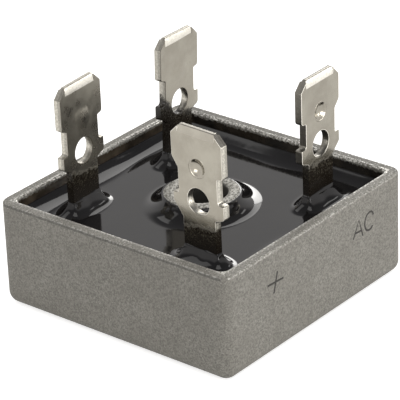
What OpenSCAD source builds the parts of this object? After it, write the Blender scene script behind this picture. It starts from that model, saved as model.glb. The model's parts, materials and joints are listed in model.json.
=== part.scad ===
// Square metal-case bridge rectifier: an open aluminium can filled with
// potting compound, with a screw hole through its middle and four upright
// quick-connect tabs. Four silicon dice sit between two lower and two upper
// leads, on a ceramic wafer bonded to the can's floor.
// Frame: the origin is the centre of the can's underside, +Z is up along the
// screw hole, and -Y is the marked side, with the positive tab at its left end.

/* [Case] */
// Outside width and depth of the can
case_w = 28.5; // [27.5:0.1:32]
// Height of the can's rim above its underside
case_h = 11.2; // [11:0.1:13]
// Thickness of the can's side walls
wall = 1.2; // [0.8:0.1:1.6]
// Thickness of the can's floor
floor_t = 3; // [2:0.1:3.2]
// Radius of the can's upright corners and of its bottom edges
case_r = 1.3; // [0.6:0.1:2]
// Radius of the cavity's upright corners
cavity_r = 0.8; // [0.4:0.1:1.2]

/* [Screw hole] */
// Diameter of the screw hole
hole_d = 5.2; // [4.8:0.1:5.6]
// Outside diameter of the post around the hole
post_d = 7.9; // [7:0.1:8.4]
// How far the post's top lies below the rim
post_drop = 0.5; // [0:0.1:0.8]

/* [Tabs] */
// Height of the tabs' tips above the underside
tip_h = 23; // [22:0.1:26]
// Width of a tab
tab_w = 6.35; // [6:0.05:6.6]
// Thickness of the leads' sheet
lead_t = 0.8; // [0.7:0.05:0.9]
// Width of the stems below the tabs
stem_w = 4.1; // [3.6:0.1:4.4]
// Pitch of the tabs along X
pitch_x = 14.1; // [13.6:0.1:14.6]
// Pitch of the tabs along Y
pitch_y = 18.2; // [17.6:0.1:18.8]
// Distance of the positive tab from the XZ plane
plus_y = 7.6; // [7.3:0.1:7.8]
// Diameter of the wire hole in a tab
wire_hole_d = 2.7; // [2.2:0.1:3]

/* [Potting] */
// Depth of the potting's flat surface below the rim
potting_drop = 2; // [1.8:0.1:2.4]
// Height and reach of the potting's climb up each stem
stem_climb = 1.5; // [0.8:0.1:1.7]
// Height and reach of its climb up the post
post_climb = 1.1; // [0.6:0.1:1.3]

/* [Bridge] */
// Side of a silicon die
die_w = 4.6; // [3.6:0.1:4.8]
// Thickness of a silicon die
die_t = 0.4; // [0.25:0.05:0.5]
// Thickness of each solder layer
solder_t = 0.1; // [0.05:0.05:0.15]
// Side of the ceramic wafer
wafer_w = 22.6; // [20:0.1:23.2]
// Thickness of the ceramic wafer
wafer_t = 0.65; // [0.4:0.05:0.8]
// Thickness of the bond under the wafer
bond_t = 0.1; // [0.05:0.05:0.2]

/* [Hidden] */
$fn = 64;

// Levels of the stack on the floor, each the underside of its layer
wafer_z = floor_t + bond_t;
low_lead_z = wafer_z + wafer_t;
low_solder_z = low_lead_z + lead_t;
die_z = low_solder_z + solder_t;
top_solder_z = die_z + die_t;
top_lead_z = top_solder_z + solder_t;
potting_z = case_h - potting_drop;
film_t = 0.1;
CLIMB_STEPS = 3;
post_h = case_h - post_drop;

// Plan of the bridge: the dice sit on the middle of each side
cavity_w = case_w - 2 * wall;
post_gap = 0.65;
arm_in = post_d / 2 + post_gap;
arm_w = 5.2;
arm_out = arm_in + arm_w;
die_at = arm_in + arm_w / 2;
arm_margin = 0.3;
arm_end = die_w / 2 + arm_margin;
solder_margin = 0.1;
solder_w = die_w - 2 * solder_margin;
bend_r = 0.8;
bend_reach = lead_t / 2 + bend_r;
relief = 0.35;
foot_overlap = 1.2;
root_l = 1;

// Small edge breaks
post_break = 0.3;
hole_break = 0.25;

// Shape of a tab, as depths below its tip
tip_cut = 1.05;
tip_bevel_l = 0.85;
tip_flat = 0.4;
shoulder_d = 4.55;
neck_in = 0.72;
ear_top_d = 7.15;
ear_end_d = 8.75;
ear_fall = 0.1;
wire_hole_at = 7.45;
dent_at = 4;
dent_r = 0.93;
dent_floor_r = 0.5;
dent_depth = 0.4;
bulge_r = 1.35;
bulge_h = 0.12;
bulge_ball_r = (bulge_r * bulge_r + bulge_h * bulge_h) / (2 * bulge_h);
corner_r = 0.35;
small_r = 0.15;
neck_r = 0.3;
ARC_STEPS = 5;

// As assembled, each upright stands a little off its nominal place, and a few
// degrees off square: [x, y], turn about Z and lean along its own width
at_ac_left = [-pitch_x / 2 - 0.2, pitch_y / 2];
turn_ac_left = 3.4;
lean_ac_left = -0.4;
at_ac_right = [pitch_x / 2 - 0.1, -pitch_y / 2];
turn_ac_right = 1.7;
lean_ac_right = 0.6;
at_plus = [-pitch_y / 2 - 0.2, -plus_y - 0.15];
turn_plus = -2.7;
lean_plus = -0.6;
at_minus = [pitch_x / 2 - 0.45, pitch_y / 2 - 0.45];
turn_minus = 3.6;
lean_minus = 2.5;

aluminium = "#8c8a81";
nickel = "#b8b4a7";
potting_black = "#2c2b2d";
ceramic = "#e8e4da";
silicon = "#3d4046";
solder_grey = "#9a9ca0";
bond_white = "#d9d8d2";

// ---- helpers -------------------------------------------------------------

// Points of one corner [x, y, radius] rounded between its two neighbours
function unit(v) = v / norm(v);
function corner(a, b, c) =
    let (
        p = [b[0], b[1]],
        u = unit([a[0], a[1]] - p),
        v = unit([c[0], c[1]] - p),
        half = acos(u * v) / 2,
        reach = b[2] / tan(half),
        centre = p + unit(u + v) * b[2] / sin(half),
        from = p + u * reach - centre,
        to = p + v * reach - centre,
        start = atan2(from[1], from[0]),
        turn = atan2(from[0] * to[1] - from[1] * to[0], from * to)
    )
    [for (i = [0 : ARC_STEPS])
        centre + b[2] * [cos(start + turn * i / ARC_STEPS), sin(start + turn * i / ARC_STEPS)]];

// Outline whose corners [x, y, radius] are rounded, or sharp at radius 0
function rounded(pts) =
    let (n = len(pts))
    [for (i = [0 : n - 1])
        each (pts[i][2] > 0
            ? corner(pts[(i + n - 1) % n], pts[i], pts[(i + 1) % n])
            : [[pts[i][0], pts[i][1]]])];

// Square with rounded corners, centred
module rounded_square(w, r) {
    square([w - 2 * r, w], center = true);
    square([w, w - 2 * r], center = true);
    for (x = [-1, 1], y = [-1, 1])
        translate([x, y] * (w / 2 - r)) circle(r);
}

// Block whose upright corners and bottom edges share one radius
module tub(w, r, h) {
    side = w - 2 * r;
    translate([-side / 2, -side / 2, 0]) cube([side, side, h]);
    for (a = [0 : 90 : 270]) rotate(a) {
        translate([side / 2, side / 2, 0]) rotate([90, 0, 0])
            linear_extrude(side) tub_edge(r, h);
        translate([side / 2, side / 2, 0])
            rotate_extrude(angle = 90) tub_edge(r, h);
    }
}

// Section of the tub's side, out from where its rounding begins
module tub_edge(r, h) {
    translate([0, r]) square([r, h - r]);
    intersection() {
        translate([0, r]) circle(r);
        square(r);
    }
}

// Section of the potting's climb up a wall at x = 0: a hollow quarter round
// in a few chords, ending in a thin film
module climb_section(r) {
    polygon(concat([[0, 0]], [for (i = [0 : CLIMB_STEPS])
        [film_t + r, r] - r * [sin(90 * i / CLIMB_STEPS), cos(90 * i / CLIMB_STEPS)]], [[0, r]]));
}

// ---- can -----------------------------------------------------------------

module case() {
    color(aluminium) difference() {
        union() {
            difference() {
                tub(case_w, case_r, case_h);
                translate([0, 0, floor_t])
                    linear_extrude(case_h) rounded_square(cavity_w, cavity_r);
            }
            post();
        }
        screw_hole();
    }
}

// Post around the hole, with its outer top edge broken
module post() {
    cylinder(d = post_d, h = post_h - post_break);
    translate([0, 0, post_h - post_break])
        cylinder(r1 = post_d / 2, r2 = post_d / 2 - post_break, h = post_break);
}

module screw_hole() {
    r = hole_d / 2;
    over = 1;
    translate([0, 0, -over]) cylinder(r = r, h = case_h + 2 * over);
    translate([0, 0, -over])
        cylinder(r1 = r + hole_break + over, r2 = r, h = hole_break + over);
    translate([0, 0, post_h - hole_break])
        cylinder(r1 = r, r2 = r + hole_break + over, h = hole_break + over);
}

// ---- stack ---------------------------------------------------------------

// Thin square layer round the post
module ring_layer(w, z, t, bore) {
    translate([0, 0, z]) linear_extrude(t) difference() {
        square(w, center = true);
        circle(bore / 2);
    }
}

module bond_layer() {
    color(bond_white) ring_layer(wafer_w, floor_t, bond_t, post_d + 2 * post_gap);
}

module insulator_wafer() {
    color(ceramic) ring_layer(wafer_w, wafer_z, wafer_t, post_d + 2 * post_gap);
}

// Square chip over the middle of the side that lies at angle a
module chip(a, z, w, t) {
    rotate(a) translate([die_at - w / 2, -w / 2, z]) cube([w, w, t]);
}

module die(a) { color(silicon) chip(a, die_z, die_w, die_t); }
module solder_low(a) { color(solder_grey) chip(a, low_solder_z, solder_w, solder_t); }
module solder_top(a) { color(solder_grey) chip(a, top_solder_z, solder_w, solder_t); }

FRONT = -90;
LEFT = 180;
RIGHT = 0;
REAR = 90;

// ---- leads ---------------------------------------------------------------

// L-shaped foot whose corner is at +X +Y. One arm ends at the bend under the
// upright, which stands at up_y. The other passes beside it.
module foot(up_x, up_y, z) {
    translate([arm_in, -arm_end, z])
        cube([arm_w, up_y - bend_reach + arm_end, lead_t]);
    side_end = up_x - stem_w / 2 - relief;
    translate([-arm_end, arm_in, z])
        cube([side_end + arm_end, arm_w, lead_t]);
    translate([-arm_end, arm_in, z])
        cube([arm_in + arm_end + relief, up_y - bend_reach - arm_in, lead_t]);
}

// Quarter bend from the foot up to the stem, with a tongue over the foot.
// The upright's mid-plane is local y = 0 and the foot lies towards +y.
module bend(z) {
    translate([0, bend_reach, z + lead_t + bend_r])
        rotate([90, 0, 90]) linear_extrude(stem_w, center = true) difference() {
            intersection() {
                circle(bend_r + lead_t);
                translate([-2 * bend_reach, -2 * bend_reach]) square(2 * bend_reach);
            }
            circle(bend_r);
        }
    translate([-stem_w / 2, bend_reach, z]) cube([stem_w, foot_overlap, lead_t]);
}

// Half of the tab's outline below its tip, from the tip down to the stem.
// shoulder and ear are the heights over which those two steps slope.
function half_outline(shoulder, ear) =
    let (h = tab_w / 2, neck = h - neck_in)
    [
        [h - tip_cut, 0, small_r],
        [h, -tip_cut, small_r],
        [h, -(shoulder_d - shoulder), corner_r],
        [neck, -shoulder_d, small_r],
        [neck, -ear_top_d, neck_r],
        [h, -ear_top_d, small_r],
        [h, -(ear_end_d - ear / 2), corner_r],
        [stem_w / 2, -(ear_end_d + ear / 2 + ear_fall), neck_r]
    ];

function flip(pts) = [for (i = [len(pts) - 1 : -1 : 0]) [-pts[i][0], pts[i][1], pts[i][2]]];

// Tab and stem in the XZ plane, tip at the origin, mid-plane at y = 0.
// shoulder and ear hold the slopes of the left and right sides, dent is -1
// for a dent in the -Y face or 1 for one in the +Y face, with a low bulge
// behind it.
module blade(stem_l, shoulder, ear, dent) {
    right = half_outline(shoulder[1], ear[1]);
    left = flip(half_outline(shoulder[0], ear[0]));
    foot_end = [[stem_w / 2, -stem_l, 0], [-stem_w / 2, -stem_l, 0]];
    difference() {
        union() {
            rotate([90, 0, 0]) linear_extrude(lead_t, center = true)
                polygon(rounded(concat(right, foot_end, left)));
            bulge(dent);
        }
        tip_bevels();
        translate([0, 0, -wire_hole_at]) rotate([90, 0, 0])
            cylinder(d = wire_hole_d, h = 2 * lead_t, center = true);
        translate([0, dent * lead_t / 2, -dent_at]) rotate([dent * 90, 0, 0])
            cylinder(r1 = dent_r, r2 = dent_floor_r, h = dent_depth);
    }
}

// Low dome on the face behind the dent
module bulge(dent) {
    sunk = bulge_ball_r - bulge_h;
    intersection() {
        translate([0, dent * (sunk - lead_t / 2), -dent_at]) sphere(bulge_ball_r);
        translate([0, 0, -dent_at]) rotate([dent * 90, 0, 0])
            cylinder(r = bulge_r + small_r, h = lead_t);
    }
}

// Wedges that bevel both faces of the tip, between its cut corners
module tip_bevels() {
    cut = (lead_t - tip_flat) / 2;
    over = 0.5;
    slope = cut / tip_bevel_l;
    bevel_w = tab_w - 2 * (tip_cut - small_r);
    for (s = [-1, 1])
        rotate([90, 0, 90]) linear_extrude(bevel_w, center = true) polygon([
            [s * lead_t / 2, -tip_bevel_l],
            [s * (tip_flat / 2 - over * slope), over],
            [s * lead_t, over],
            [s * lead_t, -tip_bevel_l]
        ]);
}

// Upright of a lead whose foot lies at height z, at its own small turn and
// lean. side is 1 for a foot behind the upright and -1 for one before it.
module upright(z, side, lean, shoulder, ear, dent) {
    root_z = z + lead_t + bend_r;
    stem_l = tip_h - root_z - root_l / 2;
    if (side > 0) bend(z);
    else mirror([0, 1, 0]) bend(z);
    translate([-stem_w / 2, -lead_t / 2, root_z]) cube([stem_w, lead_t, root_l]);
    translate([0, 0, root_z + root_l / 2]) rotate([0, lean, 0])
        translate([0, 0, stem_l]) blade(stem_l, shoulder, ear, dent);
}

module lead_positive() {
    color(nickel) {
        mirror([1, 1, 0]) foot(-at_plus[1], -at_plus[0], low_lead_z);
        translate(at_plus) rotate(turn_plus - 90)
            upright(low_lead_z, 1, lean_plus, [1.1, 0.1], [1.4, 0.3], -1);
    }
}

module lead_negative() {
    color(nickel) {
        foot(at_minus[0], at_minus[1], low_lead_z);
        translate(at_minus) rotate(turn_minus)
            upright(low_lead_z, -1, lean_minus, [0.2, 0.1], [0.5, 0.3], 1);
    }
}

module lead_ac_right() {
    color(nickel) {
        mirror([0, 1, 0]) foot(at_ac_right[0], -at_ac_right[1], top_lead_z);
        translate(at_ac_right) rotate(turn_ac_right)
            upright(top_lead_z, 1, lean_ac_right, [0.1, 0.8], [0.3, 0.9], -1);
    }
}

module lead_ac_left() {
    color(nickel) {
        mirror([1, 0, 0]) foot(-at_ac_left[0], at_ac_left[1], top_lead_z);
        translate(at_ac_left) rotate(turn_ac_left)
            upright(top_lead_z, -1, lean_ac_left, [0.2, 0.1], [0.5, 0.3], 1);
    }
}

// ---- potting -------------------------------------------------------------

// Climb round the stem of the upright at at, whose foot lies at height z
module stem_mound(at, turn, lean, z) {
    core = lead_t / 2;
    run = stem_w - lead_t;
    bend_top = z + lead_t + bend_r + root_l / 2;
    for (a = [0, 180]) translate(at) rotate(turn)
        translate([(potting_z - bend_top) * tan(lean), 0, 0]) rotate(a) {
        translate([run / 2, 0, 0]) rotate(-90) rotate_extrude(angle = 180) {
            translate([core, 0]) climb_section(stem_climb);
            square([core, stem_climb]);
        }
        translate([-run / 2, 0, 0]) rotate([90, 0, 90]) linear_extrude(run) {
            translate([core, 0]) climb_section(stem_climb);
            square([core, stem_climb]);
        }
    }
}

module potting_compound() {
    open_r = cavity_r - film_t;
    color(potting_black) difference() {
        translate([0, 0, floor_t]) linear_extrude(potting_z + open_r - floor_t)
            rounded_square(cavity_w, cavity_r);
        difference() {
            translate([0, 0, potting_z]) tub(cavity_w - 2 * film_t, open_r, case_h);
            translate([0, 0, potting_z]) {
                rotate_extrude() translate([post_d / 2, 0]) climb_section(post_climb);
                stem_mound(at_plus, turn_plus - 90, lean_plus, low_lead_z);
                stem_mound(at_minus, turn_minus, lean_minus, low_lead_z);
                stem_mound(at_ac_right, turn_ac_right, lean_ac_right, top_lead_z);
                stem_mound(at_ac_left, turn_ac_left, lean_ac_left, top_lead_z);
            }
        }
        cylinder(d = post_d, h = case_h + 1);
        stack();
        leads();
    }
}

module leads() {
    lead_positive();
    lead_negative();
    lead_ac_right();
    lead_ac_left();
}

module stack() {
    bond_layer();
    insulator_wafer();
    for (a = [FRONT, LEFT, RIGHT, REAR]) {
        die(a);
        solder_low(a);
        solder_top(a);
    }
}

case();
bond_layer();
insulator_wafer();
lead_positive();
lead_negative();
lead_ac_right();
lead_ac_left();
die(FRONT);  // die_front
die(LEFT);  // die_left
die(RIGHT);  // die_right
die(REAR);  // die_rear
solder_low(FRONT);  // solder_low_front
solder_low(LEFT);  // solder_low_left
solder_low(RIGHT);  // solder_low_right
solder_low(REAR);  // solder_low_rear
solder_top(FRONT);  // solder_top_front
solder_top(LEFT);  // solder_top_left
solder_top(RIGHT);  // solder_top_right
solder_top(REAR);  // solder_top_rear
potting_compound();
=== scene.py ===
"""Looks of the square metal-case bridge rectifier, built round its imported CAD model.

Sections: sizes and finishes, camera, node helpers, pieces, stage and light, materials,
dressed copies of the can and leads, the tabs' detents, the potting's surface, and the
marks on the case.
"""

import json
import math
from typing import NamedTuple

import bmesh
import bpy
import numpy as np
from mathutils import Matrix, Vector


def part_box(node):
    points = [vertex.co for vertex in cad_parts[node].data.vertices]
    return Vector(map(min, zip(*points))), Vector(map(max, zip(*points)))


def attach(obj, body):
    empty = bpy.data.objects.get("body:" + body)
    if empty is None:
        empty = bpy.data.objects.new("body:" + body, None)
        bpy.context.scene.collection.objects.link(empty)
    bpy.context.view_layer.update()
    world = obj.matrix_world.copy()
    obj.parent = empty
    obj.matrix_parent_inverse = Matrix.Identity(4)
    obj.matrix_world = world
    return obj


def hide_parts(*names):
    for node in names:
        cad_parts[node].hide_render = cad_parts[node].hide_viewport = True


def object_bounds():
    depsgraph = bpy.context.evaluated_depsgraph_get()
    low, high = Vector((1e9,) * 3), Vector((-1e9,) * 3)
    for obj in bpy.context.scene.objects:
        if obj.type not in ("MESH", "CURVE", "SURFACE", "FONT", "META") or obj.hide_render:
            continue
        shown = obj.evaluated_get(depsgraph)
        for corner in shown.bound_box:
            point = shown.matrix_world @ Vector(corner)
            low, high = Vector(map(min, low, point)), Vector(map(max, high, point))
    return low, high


MM = 0.001
WELD = 1e-6
FLAT_ANGLE = math.radians(0.6)
SHARP_ANGLE = math.radians(34)

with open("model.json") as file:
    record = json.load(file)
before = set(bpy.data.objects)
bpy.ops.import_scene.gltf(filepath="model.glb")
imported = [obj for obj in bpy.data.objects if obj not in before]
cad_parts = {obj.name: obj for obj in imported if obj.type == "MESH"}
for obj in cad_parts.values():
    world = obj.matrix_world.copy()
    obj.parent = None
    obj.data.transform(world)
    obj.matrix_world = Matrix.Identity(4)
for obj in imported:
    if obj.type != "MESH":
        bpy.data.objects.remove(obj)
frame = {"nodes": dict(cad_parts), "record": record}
nodes = frame["nodes"]
cad_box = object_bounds()
scene = bpy.context.scene

# ---- sizes, from the frame ---------------------------------------------------

case_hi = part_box("case")[1]
potting_lo, potting_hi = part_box("potting_compound")
HALF, RIM = case_hi.x, case_hi.z
CAVITY, POTTING_FOOT = potting_hi.x, potting_lo.z
TIP = cad_box[1].z
LEVEL = RIM - 2.0 * MM
POST_R = 3.95 * MM
BORE_R = 2.6 * MM
STEM_W = 4.1 * MM
LEAD_T = 0.8 * MM
# The same in the millimetres that materials work in
HALF_MM, RIM_MM, CAVITY_MM, TIP_MM, LEVEL_MM = (v / MM for v in (HALF, RIM, CAVITY, TIP, LEVEL))
POST_MM, BORE_MM, STEM_MM, SHEET_MM = (v / MM for v in (POST_R, BORE_R, STEM_W, LEAD_T))
# Cosine of the tilt of the tips' coined bevels from the sheet
COINED_FACING = 0.9733


class Finish(NamedTuple):
    """Looks of one lead: the film's sizes in mm, and the rest as shares."""

    film_top: float  # height of the black film where the sheet's x equals its y
    film_rise: float  # its climb per mm towards the sheet's +X or -Y edge
    creep: float  # its extra height at the sheet's other edge
    tone: float  # painted light: brightness of the sheet, set for each lead to how it is lit
    cut_tone: float  # painted light: brightness of the cut edges, set for each lead to how they are lit
    burnish: float  # how bright the coined tip is: polish, with a painted highlight set for each lead
    roll: float  # painted highlight along the rolled edges' bevels, or below 0 a painted black edge line
    tarnish: float


# The brightness, tip highlight and edge lines below differ per lead as painted light
FINISHES = {
    "positive": Finish(13.25, 0.15, 0.0, 1.12, 1.0, 0.1, 0.9, 0.0),
    "negative": Finish(14.15, -0.35, 1.3, 1.0, 0.8, 0.75, -0.5, 0.1),
    "ac_right": Finish(14.9, -0.07, 0.0, 0.95, 0.36, 1.0, 1.0, 0.0),
    "ac_left": Finish(9.9, -0.22, 0.0, 1.5, 1.0, 1.0, -0.6, 0.5),
}


def mount(name):
    """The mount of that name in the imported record."""
    return next(m for m in frame["record"]["mounts"] if m["name"] == name)


def tab_normal(end):
    """Square to a tab's sheet, towards its dented side."""
    up = Vector(mount("tab_" + end)["axis"])
    normal = Vector(mount("wire_hole_" + end)["axis"])
    return (normal - up * normal.dot(up)).normalized()


def tab_plane(end):
    """How far the middle of a tab's sheet lies along tab_normal, in mm."""
    return tab_normal(end).dot(Vector(mount("tab_" + end)["pos_m"])) / MM


def stem_places():
    """Centre at the potting's level and width direction of each lead's stem."""
    places = []
    for end in FINISHES:
        tab = mount("tab_" + end)
        up = Vector(tab["axis"])
        centre = Vector(tab["pos_m"])
        centre += up * ((LEVEL - centre.z) / up.z)
        normal = Vector(mount("wire_hole_" + end)["axis"])
        places.append((centre, Vector((-normal.y, normal.x, 0)).normalized()))
    return places


# ---- camera --------------------------------------------------------------------

AZIMUTH = math.radians(-50.14)
ELEVATION = math.radians(26.53)
ROLL = math.radians(-2.30)
DISTANCE = 273.7 * MM
AIM = Vector((6.85, 5.92, 5.0)) * MM
LENS = 240.0
HALF_PIXEL = 0.00125


def add_camera():
    """Long lens from above the vertical edge that the marked face starts at."""
    back = Vector((math.sin(AZIMUTH) * math.cos(ELEVATION),
                   -math.cos(AZIMUTH) * math.cos(ELEVATION), math.sin(ELEVATION)))
    side = Vector((math.cos(AZIMUTH), math.sin(AZIMUTH), 0))
    up = back.cross(side)
    right = side * math.cos(ROLL) + up * math.sin(ROLL)
    top = up * math.cos(ROLL) - side * math.sin(ROLL)
    data = bpy.data.cameras.new("camera")
    data.lens = LENS
    data.shift_x, data.shift_y = -HALF_PIXEL, HALF_PIXEL
    data.sensor_width = 36
    data.clip_start = 0.01
    data.clip_end = 10
    camera = bpy.data.objects.new("camera", data)
    turn = Matrix((right, top, back)).transposed().to_4x4()
    camera.matrix_world = Matrix.Translation(AIM + back * DISTANCE) @ turn
    scene.collection.objects.link(camera)
    scene.camera = camera


# ---- node helpers ----------------------------------------------------------------


class Graph:
    """Short calls for building one material's nodes."""

    def __init__(self, tree):
        self.tree = tree
        self.tree.nodes.clear()

    def add(self, kind, inputs=None, **settings):
        """A node of that kind, with sockets set to values or linked."""
        node = self.tree.nodes.new(kind)
        for key, value in settings.items():
            setattr(node, key, value)
        for key, value in (inputs or {}).items():
            self.put(node.inputs[key], value)
        return node

    def put(self, socket, value):
        if isinstance(value, bpy.types.NodeSocket):
            self.tree.links.new(value, socket)
        elif socket.type == "RGBA":
            socket.default_value = (*value, 1)
        else:
            socket.default_value = value

    def math(self, operation, a, b=0.0):
        return self.add("ShaderNodeMath", {0: a, 1: b}, operation=operation).outputs[0]

    def plus(self, a, b):
        return self.math("ADD", a, b)

    def less(self, a, b):
        return self.math("SUBTRACT", a, b)

    def times(self, first, *others):
        for other in others:
            first = self.math("MULTIPLY", first, other)
        return first

    def most(self, a, b):
        return self.math("MAXIMUM", a, b)

    def size(self, value):
        """The value without its sign."""
        return self.math("ABSOLUTE", value)

    def near(self, value, middle, inside, outside):
        """1 within inside of the middle, falling to 0 at outside from it."""
        return self.ramp(self.size(self.less(value, middle)), inside, outside, 1.0, 0.0)

    def dot(self, a, b):
        node = self.add("ShaderNodeVectorMath", {0: a, 1: b}, operation="DOT_PRODUCT")
        return node.outputs["Value"]

    def radius(self, x, y):
        return self.math("SQRT", self.plus(self.times(x, x), self.times(y, y)))

    def ramp(self, value, low, high, to_low=0.0, to_high=1.0, smooth=True):
        """value mapped from low..high to to_low..to_high, clamped."""
        kind = "SMOOTHSTEP" if smooth else "LINEAR"
        node = self.add("ShaderNodeMapRange", {
            "Value": value, "From Min": low, "From Max": high, "To Min": to_low, "To Max": to_high,
        }, interpolation_type=kind)
        return node.outputs[0]

    def mix(self, factor, a, b):
        node = self.add("ShaderNodeMix", data_type="RGBA")
        self.put(node.inputs[0], factor)
        self.put(node.inputs[6], a)
        self.put(node.inputs[7], b)
        return node.outputs[2]

    def mix_value(self, factor, a, b):
        node = self.add("ShaderNodeMix", {0: factor, 2: a, 3: b}, data_type="FLOAT")
        return node.outputs[0]

    def noise(self, place, scale_per_mm, detail=2.0, rough=0.5):
        """Noise from 0 to 1 over a place in millimetres."""
        node = self.add("ShaderNodeTexNoise", {
            "Vector": place, "Scale": scale_per_mm, "Detail": detail, "Roughness": rough,
        }, noise_dimensions="3D", noise_type="FBM")
        return node.outputs["Fac"]

    def place(self):
        """The object's own coordinates in millimetres."""
        coords = self.add("ShaderNodeTexCoord").outputs["Object"]
        return self.add("ShaderNodeVectorMath", {0: coords, "Scale": 1 / MM},
                        operation="SCALE").outputs[0]

    def axes(self, vector):
        split = self.add("ShaderNodeSeparateXYZ", {0: vector})
        return split.outputs[0], split.outputs[1], split.outputs[2]

    def bump(self, height, distance_mm, strength=1.0, normal=None):
        node = self.add("ShaderNodeBump", {
            "Height": height, "Distance": distance_mm * MM, "Strength": strength,
        })
        if normal:
            self.put(node.inputs["Normal"], normal)
        return node.outputs[0]

    def surface(self, inputs):
        shader = self.add("ShaderNodeBsdfPrincipled", inputs)
        self.add("ShaderNodeOutputMaterial", {"Surface": shader.outputs[0]})
        return shader


def material(name):
    made = bpy.data.materials.new(name)
    made.use_nodes = True
    return made, Graph(made.node_tree)


# ---- pieces ------------------------------------------------------------------------------


def dress(obj, made):
    obj.data.materials.clear()
    obj.data.materials.append(made)


def smooth_mesh(name, mesh):
    """Blender's mesh from a finished bmesh, shaded smooth."""
    data = bpy.data.meshes.new(name)
    mesh.to_mesh(data)
    mesh.free()
    for polygon in data.polygons:
        polygon.use_smooth = True
    return data


def add_piece(name, data, made):
    """New object in the scene, dressed."""
    piece = bpy.data.objects.new(name, data)
    scene.collection.objects.link(piece)
    dress(piece, made)
    return piece


# ---- stage and light ---------------------------------------------------------------

WHITE = (1, 1, 1)
WARM_WHITE = (1.0, 0.985, 0.96)
FLOOR_REACH = 1.5
FLOOR_GAP = 0.02 * MM
LAMP_DISTANCE = 0.7
LIT_POINT = Vector((0, 0, 10 * MM))


def add_world():
    """White for the camera, and for reflections white at the sides and grey overhead."""
    world = bpy.data.worlds.new("studio")
    scene.world = world
    world.use_nodes = True
    graph = Graph(world.node_tree)
    rays = graph.add("ShaderNodeLightPath")
    seen = graph.most(rays.outputs["Is Camera Ray"], rays.outputs["Is Transmission Ray"])
    height = graph.axes(graph.add("ShaderNodeTexCoord").outputs["Generated"])[2]
    sides = graph.ramp(height, 0.46, 0.62)
    mirrored = graph.mix(sides, (1.0, 0.98, 0.97), (0.3, 0.3, 0.31))
    soft = graph.mix(rays.outputs["Is Glossy Ray"], (0.5, 0.49, 0.48), mirrored)
    colour = graph.mix(seen, soft, WHITE)
    background = graph.add("ShaderNodeBackground", {"Color": colour, "Strength": 1.0})
    graph.add("ShaderNodeOutputWorld", {"Surface": background.outputs[0]})


def add_floor():
    """White table, which keeps a faint shadow."""
    data = bpy.data.meshes.new("floor")
    ends = (-FLOOR_REACH, FLOOR_REACH)
    corners = [(ends[0], ends[0], 0), (ends[1], ends[0], 0), (ends[1], ends[1], 0), (ends[0], ends[1], 0)]
    data.from_pydata(corners, [], [(0, 1, 2, 3)])
    floor = bpy.data.objects.new("floor", data)
    floor.location.z = -FLOOR_GAP
    scene.collection.objects.link(floor)
    made, graph = material("white_table")
    rays = graph.add("ShaderNodeLightPath")
    seen = graph.most(rays.outputs["Is Camera Ray"], rays.outputs["Is Transmission Ray"])
    paper = graph.add("ShaderNodeBsdfDiffuse", {"Color": (0.8, 0.8, 0.8)})
    mirrored = graph.times(rays.outputs["Is Glossy Ray"], 0.3)
    glow_strength = graph.most(graph.times(seen, 0.72), mirrored)
    glow = graph.add("ShaderNodeEmission", {"Color": WHITE, "Strength": glow_strength})
    both = graph.add("ShaderNodeAddShader", {0: paper.outputs[0], 1: glow.outputs[0]})
    graph.add("ShaderNodeOutputMaterial", {"Surface": both.outputs[0]})
    dress(floor, made)


def add_softbox(name, azimuth, elevation, width, height, radiance):
    """Rectangular lamp that faces the object; azimuth 0 is +X and 90 is +Y.

    Width and height are the degrees that it covers as seen from the object.
    """
    a = math.radians(azimuth)
    e = math.radians(elevation)
    towards = Vector((math.cos(a) * math.cos(e), math.sin(a) * math.cos(e), math.sin(e)))
    data = bpy.data.lights.new(name, "AREA")
    data.shape = "RECTANGLE"
    data.size = 2 * LAMP_DISTANCE * math.tan(math.radians(width / 2))
    data.size_y = 2 * LAMP_DISTANCE * math.tan(math.radians(height / 2))
    data.energy = radiance * math.pi * data.size * data.size_y
    data.color = WARM_WHITE
    lamp = bpy.data.objects.new(name, data)
    lamp.location = towards * LAMP_DISTANCE + LIT_POINT
    lamp.rotation_euler = towards.to_track_quat("Z", "Y").to_euler()
    scene.collection.objects.link(lamp)


LAMPS = [
    # name, azimuth, elevation, width, height, radiance
    ("overhead", -125, 66, 36, 26, 1.9),
    ("right_rear", 25, 18, 18, 17, 6.5),
    ("right_high", 24, 38, 16, 22, 2.6),
    ("left_rear", 100, 50, 50, 12, 1.3),
    ("front", -82, 12, 26, 22, 6.0),
    ("left_side", 172, 10, 26, 20, 2.6),
    ("right_spot", -7, 40, 5, 10, 2.5),
    ("tip_light", -46, 4, 20, 8, 7.0),
]


def add_lamps():
    for lamp in LAMPS:
        add_softbox(*lamp)


# ---- materials -----------------------------------------------------------------------


def film_mask(graph, place):
    """1 where the potting has wetted the can: its cavity and the foot of its post."""
    x, y, z = graph.axes(place)
    out = graph.most(graph.size(x), graph.size(y))
    inside = graph.ramp(out, CAVITY_MM + 0.02, CAVITY_MM + 0.06, 1.0, 0.0, smooth=False)
    broad = graph.ramp(graph.noise(place, 0.35), 0.3, 0.7, 0.42, 0.22)
    fine = graph.ramp(graph.noise(place, 2.6, detail=4.0, rough=0.6), 0.3, 0.7, -0.1, 0.1)
    edge = graph.less(RIM_MM, graph.plus(broad, fine))
    below = graph.ramp(graph.less(edge, z), -0.04, 0.1)
    above_floor = graph.ramp(z, LEVEL_MM - 1.5, LEVEL_MM - 1.4, smooth=False)
    radius = graph.radius(x, y)
    off_post = graph.ramp(radius, 6.0, 6.1, smooth=False)
    on_walls = graph.times(inside, below, above_floor, off_post)
    outside_post = graph.ramp(radius, POST_MM - 0.09, POST_MM - 0.05, smooth=False)
    below_top = graph.ramp(z, LEVEL_MM + 1.2, LEVEL_MM + 1.3, 1.0, 0.0)
    on_post = graph.times(outside_post, below_top, graph.math("LESS_THAN", radius, 6.0))
    return graph.most(on_walls, on_post)


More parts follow.
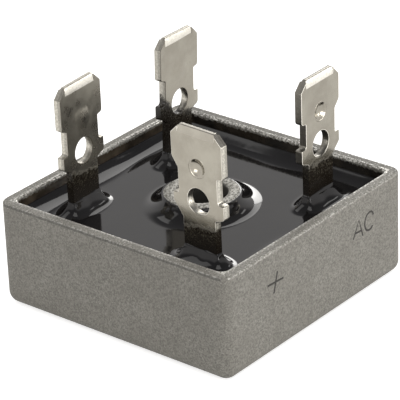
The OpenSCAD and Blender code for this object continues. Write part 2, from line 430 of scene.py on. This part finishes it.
def worn_edges(graph, place):
    """1 along the rim's two corners, where handling has burnished the grain."""
    x, y, z = graph.axes(place)
    out = graph.most(graph.size(x), graph.size(y))
    inner = graph.near(out, CAVITY_MM + 0.1, 0.1, 0.4)
    outer = graph.times(graph.near(out, HALF_MM - 0.08, 0.05, 0.2), 0.45)
    high = graph.ramp(z, RIM_MM - 0.35, RIM_MM - 0.15)
    return graph.times(graph.most(inner, outer), high)


def blasted_tone(graph, place, bright):
    """Colour of the bare can, with the bright specks that are handed in, and painted shade on the rim's +X
    top.
    """
    x, y, z = graph.axes(place)
    grain = graph.noise(place, 6.0, detail=4.0, rough=0.75)
    blotch = graph.noise(place, 0.3, detail=4.0, rough=0.6)
    metal = graph.mix(graph.ramp(grain, 0.25, 0.75), (0.105, 0.1, 0.089), (0.365, 0.354, 0.317))
    high = graph.ramp(z, RIM_MM - 0.7, RIM_MM - 0.1)
    # painted shade: the +X rim's top is darkened to tone down its highlight
    painted_rim_shade = graph.times(graph.ramp(x, CAVITY_MM - 0.1, CAVITY_MM), high)
    metal = graph.mix(graph.times(painted_rim_shade, 0.5), metal, (0.09, 0.087, 0.078))
    metal = graph.mix(graph.ramp(blotch, 0.3, 0.7, 0.0, 0.3), metal, (0.17, 0.16, 0.14))
    return graph.mix(bright, metal, (0.66, 0.65, 0.61))


def post_tone_and_painted_shade(graph, place, metal, speck):
    """metal with the post's torn top, painted shade in the bore and a painted dark line under the rim's -X
    edge.
    """
    x, y, z = graph.axes(place)
    radius = graph.radius(x, y)
    on_top = graph.times(graph.math("LESS_THAN", radius, POST_MM), graph.ramp(z, RIM_MM - 0.9, RIM_MM - 0.7))
    torn = graph.mix(graph.ramp(speck, 0.4, 0.58), (0.12, 0.115, 0.1), (0.72, 0.71, 0.66))
    metal = graph.mix(graph.times(on_top, 0.65), metal, torn)
    # painted shade: the bore's wall is darkened as if in shadow
    in_bore = graph.ramp(radius, BORE_MM + 0.02, BORE_MM + 0.12, 1.0, 0.0)
    metal = graph.mix(graph.times(in_bore, 0.85), metal, (0.03, 0.028, 0.025))
    # painted shade: a dark line along the rounding of the rim's -X edge
    at_side = graph.ramp(x, 0.12 - HALF_MM, 0.2 - HALF_MM, 1.0, 0.0)
    over = graph.ramp(z, RIM_MM - 0.34, RIM_MM - 0.26)
    under = graph.ramp(z, RIM_MM - 0.12, RIM_MM - 0.06, 1.0, 0.0)
    return graph.mix(graph.times(at_side, over, under, 0.7), metal, (0.07, 0.067, 0.06))


def wall_film_tone(graph, place):
    """Black film, thinner and browner on the +Y wall."""
    y = graph.axes(place)[1]
    broad = graph.ramp(graph.noise(place, 0.6, detail=3.0), 0.3, 0.7)
    black = graph.mix(broad, (0.006, 0.005, 0.004), (0.03, 0.024, 0.017))
    brown = graph.mix(broad, (0.03, 0.023, 0.016), (0.09, 0.072, 0.052))
    return graph.mix(graph.ramp(y, CAVITY_MM - 0.2, CAVITY_MM), black, brown)


def can_material():
    """Satin aluminium with a blasted grain, and a black film inside the cavity."""
    made, graph = material("blasted_aluminium")
    place = graph.place()
    z = graph.axes(place)[2]
    speck = graph.noise(place, 5.0, rough=0.6)
    threshold = graph.mix_value(graph.ramp(z, RIM_MM - 0.7, RIM_MM - 0.1), 0.72, 0.6)
    bright = graph.ramp(graph.less(speck, threshold), 0.0, 0.06)
    wear = graph.times(worn_edges(graph, place), graph.ramp(speck, 0.42, 0.6))
    bright = graph.most(graph.times(bright, 0.7), wear)
    metal = blasted_tone(graph, place, bright)
    metal = post_tone_and_painted_shade(graph, place, metal, speck)
    film = film_mask(graph, place)
    colour = graph.mix(film, metal, wall_film_tone(graph, place))
    rough = graph.mix_value(film, graph.mix_value(bright, 0.62, 0.3), 0.2)
    metallic = graph.mix_value(film, graph.mix_value(bright, 0.2, 1.0), 0.0)
    grain = graph.noise(place, 6.0, detail=4.0, rough=0.75)
    normal = graph.bump(grain, 0.03, 0.6)
    wavy = graph.noise(place, 0.9)
    normal = graph.bump(graph.plus(wavy, graph.times(film, 0.6)), 0.1, 0.25, normal)
    graph.surface({"Base Color": colour, "Metallic": metallic, "Roughness": rough, "Normal": normal})
    return made


def scaled(colour, share):
    return tuple(c * share for c in colour)


def cut_tone(graph, end, place, specks, corner):
    """Colour of the sheet's cut edges: torn towards the undented face, ribbed, dark at the burr, with
    painted shade on faces that tilt upward.
    """
    depth = graph.less(graph.dot(place, tab_normal(end)), tab_plane(end))
    torn = graph.ramp(depth, -0.12, 0.02, 0.6, 0.0)
    # The cut edges' brightness per lead is painted light, set to how each lead is lit
    bright = scaled((0.72, 0.69, 0.61), FINISHES[end].cut_tone)
    cut = graph.mix(torn, bright, (0.3, 0.285, 0.25))
    burr = graph.ramp(graph.size(depth), SHEET_MM / 2 - 0.1, SHEET_MM / 2 - 0.05, 0.0, 0.6)
    ribs = graph.ramp(specks, 0.42, 0.6, 0.33, 0.0)
    cut = graph.mix(graph.most(burr, ribs), cut, (0.1, 0.095, 0.08))
    # painted shade: cut faces that tilt partly upward are darkened
    return graph.mix(graph.times(corner, 0.5), cut, (0.16, 0.15, 0.13))


def lead_film(graph, end, place, specks):
    """Where the black film lies on a lead, and its colour."""
    finish = FINISHES[end]
    x, y, z = graph.axes(place)
    ragged = graph.noise(place, 1.6, detail=4.0, rough=0.6)
    along = graph.less(x, y)
    edge = graph.ramp(ragged, 0.3, 0.7, finish.film_top - 0.35, finish.film_top + 0.35, smooth=False)
    edge = graph.plus(edge, graph.times(along, finish.film_rise))
    if finish.creep:
        foot = mount("tab_" + end)["pos_m"]
        from_edge = graph.less(along, (foot[0] - foot[1]) / MM - STEM_MM / 2)
        edge = graph.plus(edge, graph.ramp(from_edge, 0.0, 1.6, finish.creep, 0.0))
    under = graph.less(edge, z)
    smear = graph.times(graph.ramp(specks, 0.45, 0.65), graph.ramp(under, 0.3, 2.2, 1.0, 0.1))
    tone = graph.mix(smear, (0.012, 0.009, 0.006), (0.06, 0.053, 0.038))
    return graph.ramp(under, -0.25, 0.35), tone


def plated_material(end, pressed=False):
    """Warm nickel plate on stamped copper sheet, wetted black at its foot.

    pressed is for the dent and bulge, which have no cut, coined or rolled edges, and so no painted tip
    highlight or edge lines.
    """
    finish = FINISHES[end]
    if pressed:
        finish = finish._replace(burnish=0.0, roll=0.0)
    made, graph = material(("pressed_nickel_" if pressed else "nickel_") + end)
    place = graph.place()
    z = graph.axes(place)[2]
    cloud = graph.noise(place, 0.45, detail=4.0, rough=0.6)
    specks = graph.noise(place, 5.0, detail=3.0, rough=0.7)
    clouded = graph.ramp(cloud, 0.3, 0.7)
    # The sheet's brightness per lead is painted light, set to how each lead is lit
    metal = graph.mix(clouded, scaled((0.35, 0.325, 0.275), finish.tone),
                      scaled((0.43, 0.405, 0.345), finish.tone))
    stain = graph.ramp(graph.plus(cloud, graph.times(specks, 0.5)), 0.55, 0.8)
    stain = graph.most(stain, graph.ramp(z, TIP_MM - 6, TIP_MM - 2.5, 0.0, 0.9))
    metal = graph.mix(graph.times(stain, finish.tarnish), metal, (0.09, 0.085, 0.07))

    true_normal = graph.add("ShaderNodeNewGeometry").outputs["True Normal"]
    slant = graph.size(graph.dot(true_normal, tab_normal(end)))
    upward = graph.axes(true_normal)[2]
    # painted shade: faces tilted partly upward, such as the tip's chamfers, are picked out to darken their
    # cut and rolled edges
    corner = graph.times(graph.ramp(upward, 0.25, 0.4), graph.ramp(upward, 0.85, 0.9, 1.0, 0.0))
    sheared = graph.ramp(slant, 0.25, 0.5, 1.0, 0.0)
    metal = graph.mix(sheared, metal, cut_tone(graph, end, place, specks, corner))

    # Coined tip: polished, and lightened further as a painted highlight, by an amount set per lead
    at_tip = graph.ramp(z, TIP_MM - 0.95, TIP_MM - 0.85)
    coined = graph.times(graph.near(slant, COINED_FACING, 0.004, 0.008), at_tip)
    worn = graph.ramp(specks, 0.35, 0.6, 0.7, 1.0)
    metal = graph.mix(graph.times(coined, worn, finish.burnish), metal, (0.92, 0.89, 0.81))

    # Painted highlight or shade: the rolled edges' bevels are painted near white on some leads and near
    # black on others
    painted_edge_mask = graph.times(graph.ramp(slant, 0.5, 0.6), graph.ramp(slant, 0.94, 0.96, 1.0, 0.0),
                         abs(finish.roll))
    painted_edge_tone = (0.95, 0.92, 0.84) if finish.roll > 0 else (0.05, 0.046, 0.04)
    # painted shade: rolled edges on the upward-tilted faces go near black
    painted_edge_tone = graph.mix(graph.times(corner, 0.9), painted_edge_tone, (0.04, 0.037, 0.03))
    metal = graph.mix(painted_edge_mask, metal, painted_edge_tone)

    film, film_tone = lead_film(graph, end, place, specks)
    rough = graph.mix_value(sheared, graph.ramp(cloud, 0.3, 0.7, 0.13, 0.2), 0.3)
    dulled = graph.ramp(cloud, 0.3, 0.7, 0.5, 1.0)
    rough = graph.plus(rough, graph.times(dulled, 0.35 * finish.tarnish))
    rough = graph.mix_value(coined, rough, 0.34)
    rough = graph.mix_value(painted_edge_mask, rough, 0.5)
    rough = graph.mix_value(film, rough, graph.ramp(specks, 0.3, 0.7, 0.14, 0.3))
    fine = graph.noise(place, 9.0, rough=0.6)
    normal = graph.bump(fine, 0.004, 0.4)
    wavy = graph.noise(place, 0.7, detail=3.0)
    normal = graph.bump(graph.plus(wavy, graph.times(film, 0.5)), 0.05, 0.3, normal)
    graph.surface({"Base Color": graph.mix(film, metal, film_tone), "Roughness": rough,
                   "Metallic": graph.mix_value(film, 1.0, 0.0), "Normal": normal})
    return made


def potting_material():
    """Glossy black epoxy."""
    made, graph = material("black_epoxy")
    place = graph.place()
    cloud = graph.noise(place, 0.3, detail=3.0, rough=0.6)
    wavy = graph.noise(place, 0.35)
    graph.surface({"Base Color": graph.mix(cloud, (0.006, 0.0055, 0.006), (0.012, 0.011, 0.011)),
                   "Roughness": graph.ramp(cloud, 0.3, 0.7, 0.04, 0.09),
                   "IOR": 1.42, "Normal": graph.bump(wavy, 0.03, 0.25)})
    return made


def plain_material(name, colour, rough, metallic, grain_scale, variation):
    """One finish with a fine grain, for the inner pieces and the marks."""
    made, graph = material(name)
    grain = graph.noise(graph.place(), grain_scale, detail=3.0)
    tone = graph.mix(grain, scaled(colour, 1 - variation), scaled(colour, 1 + variation))
    graph.surface({"Base Color": tone, "Metallic": metallic,
                   "Roughness": graph.ramp(grain, 0.2, 0.8, rough * 0.8, rough * 1.2),
                   "Normal": graph.bump(grain, 0.01, 0.4)})
    return made


INNER_FINISHES = {
    "bond_layer": ("white_bond", (0.7, 0.68, 0.62), 0.6, 0.0, 3.0, 0.1),
    "insulator_wafer": ("ceramic", (0.8, 0.78, 0.72), 0.5, 0.0, 4.0, 0.06),
    "die": ("silicon", (0.06, 0.065, 0.08), 0.2, 0.0, 1.5, 0.25),
    "solder": ("solder", (0.4, 0.41, 0.42), 0.35, 1.0, 2.5, 0.15),
}


def dress_inner_pieces():
    for kind, finish in INNER_FINISHES.items():
        made = plain_material(*finish)
        for name, obj in nodes.items():
            if name.startswith(kind):
                dress(obj, made)


# ---- dressed copies ----------------------------------------------------------------------

# Widths of the broken edges in mm
CAN_BREAK, LEAD_BREAK = 0.25, 0.07
FLAT_FACE_WEIGHT = 60


def add_dressed_copy(node, name, made, width_mm, segments):
    """Stands for a CAD node: its own mesh, joined up, with its sharp edges broken."""
    mesh = bmesh.new()
    mesh.from_mesh(nodes[node].data)
    bmesh.ops.remove_doubles(mesh, verts=mesh.verts, dist=WELD)
    bmesh.ops.dissolve_limit(mesh, verts=mesh.verts, edges=mesh.edges, angle_limit=FLAT_ANGLE)
    sharp = [e for e in mesh.edges if e.is_manifold and e.calc_face_angle() > SHARP_ANGLE]
    bmesh.ops.bevel(mesh, geom=sharp, offset=width_mm * MM, offset_type="OFFSET", segments=segments,
                    profile=0.5, affect="EDGES", clamp_overlap=False)
    for edge in mesh.edges:
        edge.smooth = edge.is_manifold and edge.calc_face_angle() < SHARP_ANGLE
    data = smooth_mesh(name, mesh)
    if "custom_normal" in data.attributes:
        data.attributes.remove(data.attributes["custom_normal"])
    piece = add_piece(name, data, made)
    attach(piece, "root")
    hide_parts(node)
    weight = piece.modifiers.new("flat_faces", "WEIGHTED_NORMAL")
    weight.mode = "FACE_AREA_WITH_ANGLE"
    weight.weight = FLAT_FACE_WEIGHT
    weight.keep_sharp = True


# ---- detents -----------------------------------------------------------------------------

# Profiles of the detent's two sides, as (radius, height over the sheet's face) in mm
DENT_R, DENT_DEPTH, DENT_ROUNDNESS = 0.93, 0.37, 2.2
BULGE_R, BULGE_H = 1.4, 0.13
DENT_UNDER_MOUNT = 0.4 * MM
PROFILE_STEPS = 14
TURNS = 48


def dent_profile():
    """Bowl with a rolled rim, from its middle out, then down into the sheet."""
    shares = [i / PROFILE_STEPS for i in range(PROFILE_STEPS)]
    bowl = [(DENT_R * t, -DENT_DEPTH * (1 - t ** DENT_ROUNDNESS)) for t in shares]
    rim = [(DENT_R, -0.012), (DENT_R + 0.05, 0.006), (DENT_R + 0.11, 0.004)]
    sunk = [(DENT_R + 0.13, -0.05), (DENT_R + 0.1, -0.5)]
    return bowl + rim + sunk


def bulge_profile():
    """Low dome that runs out level with the face."""
    shares = [i / PROFILE_STEPS for i in range(PROFILE_STEPS + 1)]
    dome = [(BULGE_R * t, BULGE_H * (1 - t ** 2) ** 2 - 0.004) for t in shares]
    return dome + [(BULGE_R + 0.1, -0.008), (BULGE_R + 0.12, -0.08)]


def add_revolved(name, profile, centre, axis, made):
    """Closed solid turned about axis, with the profile's first point at its middle."""
    turn = axis.to_track_quat("Z", "Y")
    mesh = bmesh.new()
    top = mesh.verts.new(centre + turn @ Vector((0, 0, profile[0][1] * MM)))
    bottom = mesh.verts.new(centre + turn @ Vector((0, 0, profile[-1][1] * MM)))
    rings = []
    for r, h in profile[1:]:
        ring = []
        for k in range(TURNS):
            angle = 2 * math.pi * k / TURNS
            spot = Vector((r * math.cos(angle), r * math.sin(angle), h)) * MM
            ring.append(mesh.verts.new(centre + turn @ spot))
        rings.append(ring)
    for k in range(TURNS):
        after = (k + 1) % TURNS
        mesh.faces.new((top, rings[0][k], rings[0][after]))
        for low, high in zip(rings, rings[1:]):
            mesh.faces.new((low[k], high[k], high[after], low[after]))
        mesh.faces.new((rings[-1][k], bottom, rings[-1][after]))
    bmesh.ops.recalc_face_normals(mesh, faces=mesh.faces)
    piece = add_piece(name, smooth_mesh(name, mesh), made)
    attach(piece, "root")


def add_detent(end):
    """The tab's pressed dent and the low bulge behind it."""
    made = plated_material(end, pressed=True)
    tab = mount("tab_" + end)
    normal = tab_normal(end)
    middle = Vector(tab["pos_m"]) - Vector(tab["axis"]) * DENT_UNDER_MOUNT
    face = normal * LEAD_T / 2
    add_revolved("dent_" + end, dent_profile(), middle + face, normal, made)
    add_revolved("bulge_" + end, bulge_profile(), middle - face, -normal, made)


# ---- potting -----------------------------------------------------------------------------

GRID_STEP = 0.12 * MM
# Height and reach of the liquid's climb at each thing that it wets
STEM_CLIMB, STEM_REACH = 1.45 * MM, 1.8 * MM
POST_CLIMB, POST_REACH = 1.35 * MM, 2.25 * MM
WALL_CLIMB, WALL_REACH = 0.78 * MM, 2.3 * MM
MOUND_LONG, MOUND_WIDE = 3.85 * MM, 2.3 * MM
# Turn about the middle in degrees, spread and extra reach in mm, where the climb is broader
WALL_SWELLS = [(88, 17, 0.5), (135, 12, 0.4), (-150, 30, 0.3)]
# How softly one climb runs into the next
BLEND = 0.1 * MM
# How far the surface runs into the walls, and its hole into the post
SUNK_IN_WALL, SUNK_IN_POST = 0.05 * MM, 0.6 * MM


def fillet(distance, climb, reach):
    """Hollow arc that is climb high at the thing it wets and level at reach."""
    radius = (reach ** 2 + climb ** 2) / (2 * climb)
    run = np.clip(reach - np.maximum(distance, 0), 0, reach)
    return radius - np.sqrt(radius ** 2 - run ** 2)


def stem_gap(x, y, centre, along):
    """0 on a stem's outline and STEM_REACH on the oval where its mound ends."""
    u = (x - centre.x) * along.x + (y - centre.y) * along.y
    v = (y - centre.y) * along.x - (x - centre.x) * along.y
    gap = np.hypot(np.maximum(abs(u) - STEM_W / 2, 0), np.maximum(abs(v) - LEAD_T / 2, 0))
    level = np.hypot(u / MOUND_LONG, v / MOUND_WIDE)
    left = np.hypot(u, v) * np.maximum(1 / np.maximum(level, 1e-6) - 1, 0)
    return STEM_REACH * gap / np.maximum(gap + left, 1e-9)


def potting_heights(xs):
    """Height of the set liquid over its level, on the grid xs by xs."""
    x, y = np.meshgrid(xs, xs, indexing="ij")
    turn = np.degrees(np.arctan2(y, x))
    uneven = 1 + 0.12 * np.sin(np.radians(3 * turn + 35)) + 0.08 * np.sin(np.radians(7 * turn + 120))
    wide = WALL_REACH * uneven
    for middle, spread, more in WALL_SWELLS:
        wide = wide + more * MM * np.exp(-(((turn - middle) / spread) ** 2))
    to_wall = CAVITY - np.maximum(abs(x), abs(y))
    climbs = [fillet(to_wall, WALL_CLIMB, wide)]
    swell = 1 + 0.08 * np.sin(np.radians(2 * turn + 60))
    climbs.append(fillet((np.hypot(x, y) - POST_R) / swell, POST_CLIMB, POST_REACH))
    for centre, along in stem_places():
        climbs.append(fillet(stem_gap(x, y, centre, along), STEM_CLIMB, STEM_REACH))
    total = sum(np.exp(c / BLEND) - 1 for c in climbs)
    return BLEND * np.log1p(total)


def add_climbed_faces(mesh):
    """Grid of faces at the liquid's height, with a hole inside the post."""
    reach = CAVITY + SUNK_IN_WALL
    count = int(round(2 * reach / GRID_STEP)) + 1
    xs = np.linspace(-reach, reach, count)
    heights = potting_heights(xs)
    grid = [[mesh.verts.new((x, y, LEVEL + heights[i, j])) for j, y in enumerate(xs)]
            for i, x in enumerate(xs)]
    for i in range(count - 1):
        for j in range(count - 1):
            if math.hypot((xs[i] + xs[i + 1]) / 2, (xs[j] + xs[j + 1]) / 2) > POST_R - SUNK_IN_POST:
                mesh.faces.new((grid[i][j], grid[i + 1][j], grid[i + 1][j + 1], grid[i][j + 1]))
    loose = [v for v in mesh.verts if not v.link_faces]
    bmesh.ops.delete(mesh, geom=loose, context="VERTS")


def add_potting():
    """Closed solid under the climbed surface, open inside the post."""
    mesh = bmesh.new()
    add_climbed_faces(mesh)
    rims = [e for e in mesh.edges if e.is_boundary]
    made = bmesh.ops.extrude_edge_only(mesh, edges=rims)["geom"]
    for v in (g for g in made if isinstance(g, bmesh.types.BMVert)):
        v.co.z = POTTING_FOOT
    bottoms = [g for g in made if isinstance(g, bmesh.types.BMEdge)]
    bmesh.ops.triangle_fill(mesh, edges=bottoms, use_beauty=False)
    bmesh.ops.recalc_face_normals(mesh, faces=mesh.faces)
    name = "potting_surface"
    piece = add_piece(name, smooth_mesh(name, mesh), potting_material())
    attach(piece, "root")
    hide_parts("potting_compound")


# ---- marks ---------------------------------------------------------------------------------

# Strokes in millimetres on the -Y face, as (x, z) points
PLUS_STROKES = [
    [(-8.0, 7.83), (-5.52, 7.7)],
    [(-7.04, 6.65), (-6.41, 8.79)],
]
A_STROKES = [
    [(5.74, 6.92), (6.7, 8.67), (7.31, 6.73)],
    [(6.08, 7.45), (7.1, 7.38)],
]
C_STROKES = [
    [(9.1, 8.3), (9.0, 8.6), (8.75, 8.8), (8.45, 8.83), (8.1, 8.72), (7.82, 8.45), (7.68, 8.1),
     (7.66, 7.7), (7.74, 7.35), (7.9, 7.1), (8.12, 6.96), (8.4, 6.9), (8.7, 6.96), (8.97, 7.16)],
]
STROKE_W = 0.22 * MM
STROKE_FLATNESS = 0.08


def add_marks():
    """Plus and AC, drawn as thin dark scratches on the marked face."""
    data = bpy.data.curves.new("polarity_marks", "CURVE")
    data.dimensions = "3D"
    data.bevel_depth = STROKE_W / 2
    data.bevel_resolution = 2
    data.use_fill_caps = True
    for stroke in PLUS_STROKES + A_STROKES + C_STROKES:
        spline = data.splines.new("POLY")
        spline.points.add(len(stroke) - 1)
        for point, (x, z) in zip(spline.points, stroke):
            point.co = (x * MM, 0, z * MM, 1)
    made = plain_material("dark_scratch", (0.035, 0.032, 0.028), 0.6, 0.2, 6.0, 0.4)
    piece = add_piece("polarity_marks", data, made)
    piece.scale.y = STROKE_FLATNESS
    piece.location.y = -HALF
    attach(piece, "root")


# ---- build ---------------------------------------------------------------------------------

scene.view_settings.view_transform = "Standard"
add_camera()
add_world()
add_floor()
add_lamps()

add_dressed_copy("case", "can", can_material(), CAN_BREAK, 3)
for end in FINISHES:
    lead = "lead_" + end
    add_dressed_copy(lead, "plated_" + lead, plated_material(end), LEAD_BREAK, 2)
    add_detent(end)
dress_inner_pieces()
add_potting()
add_marks()
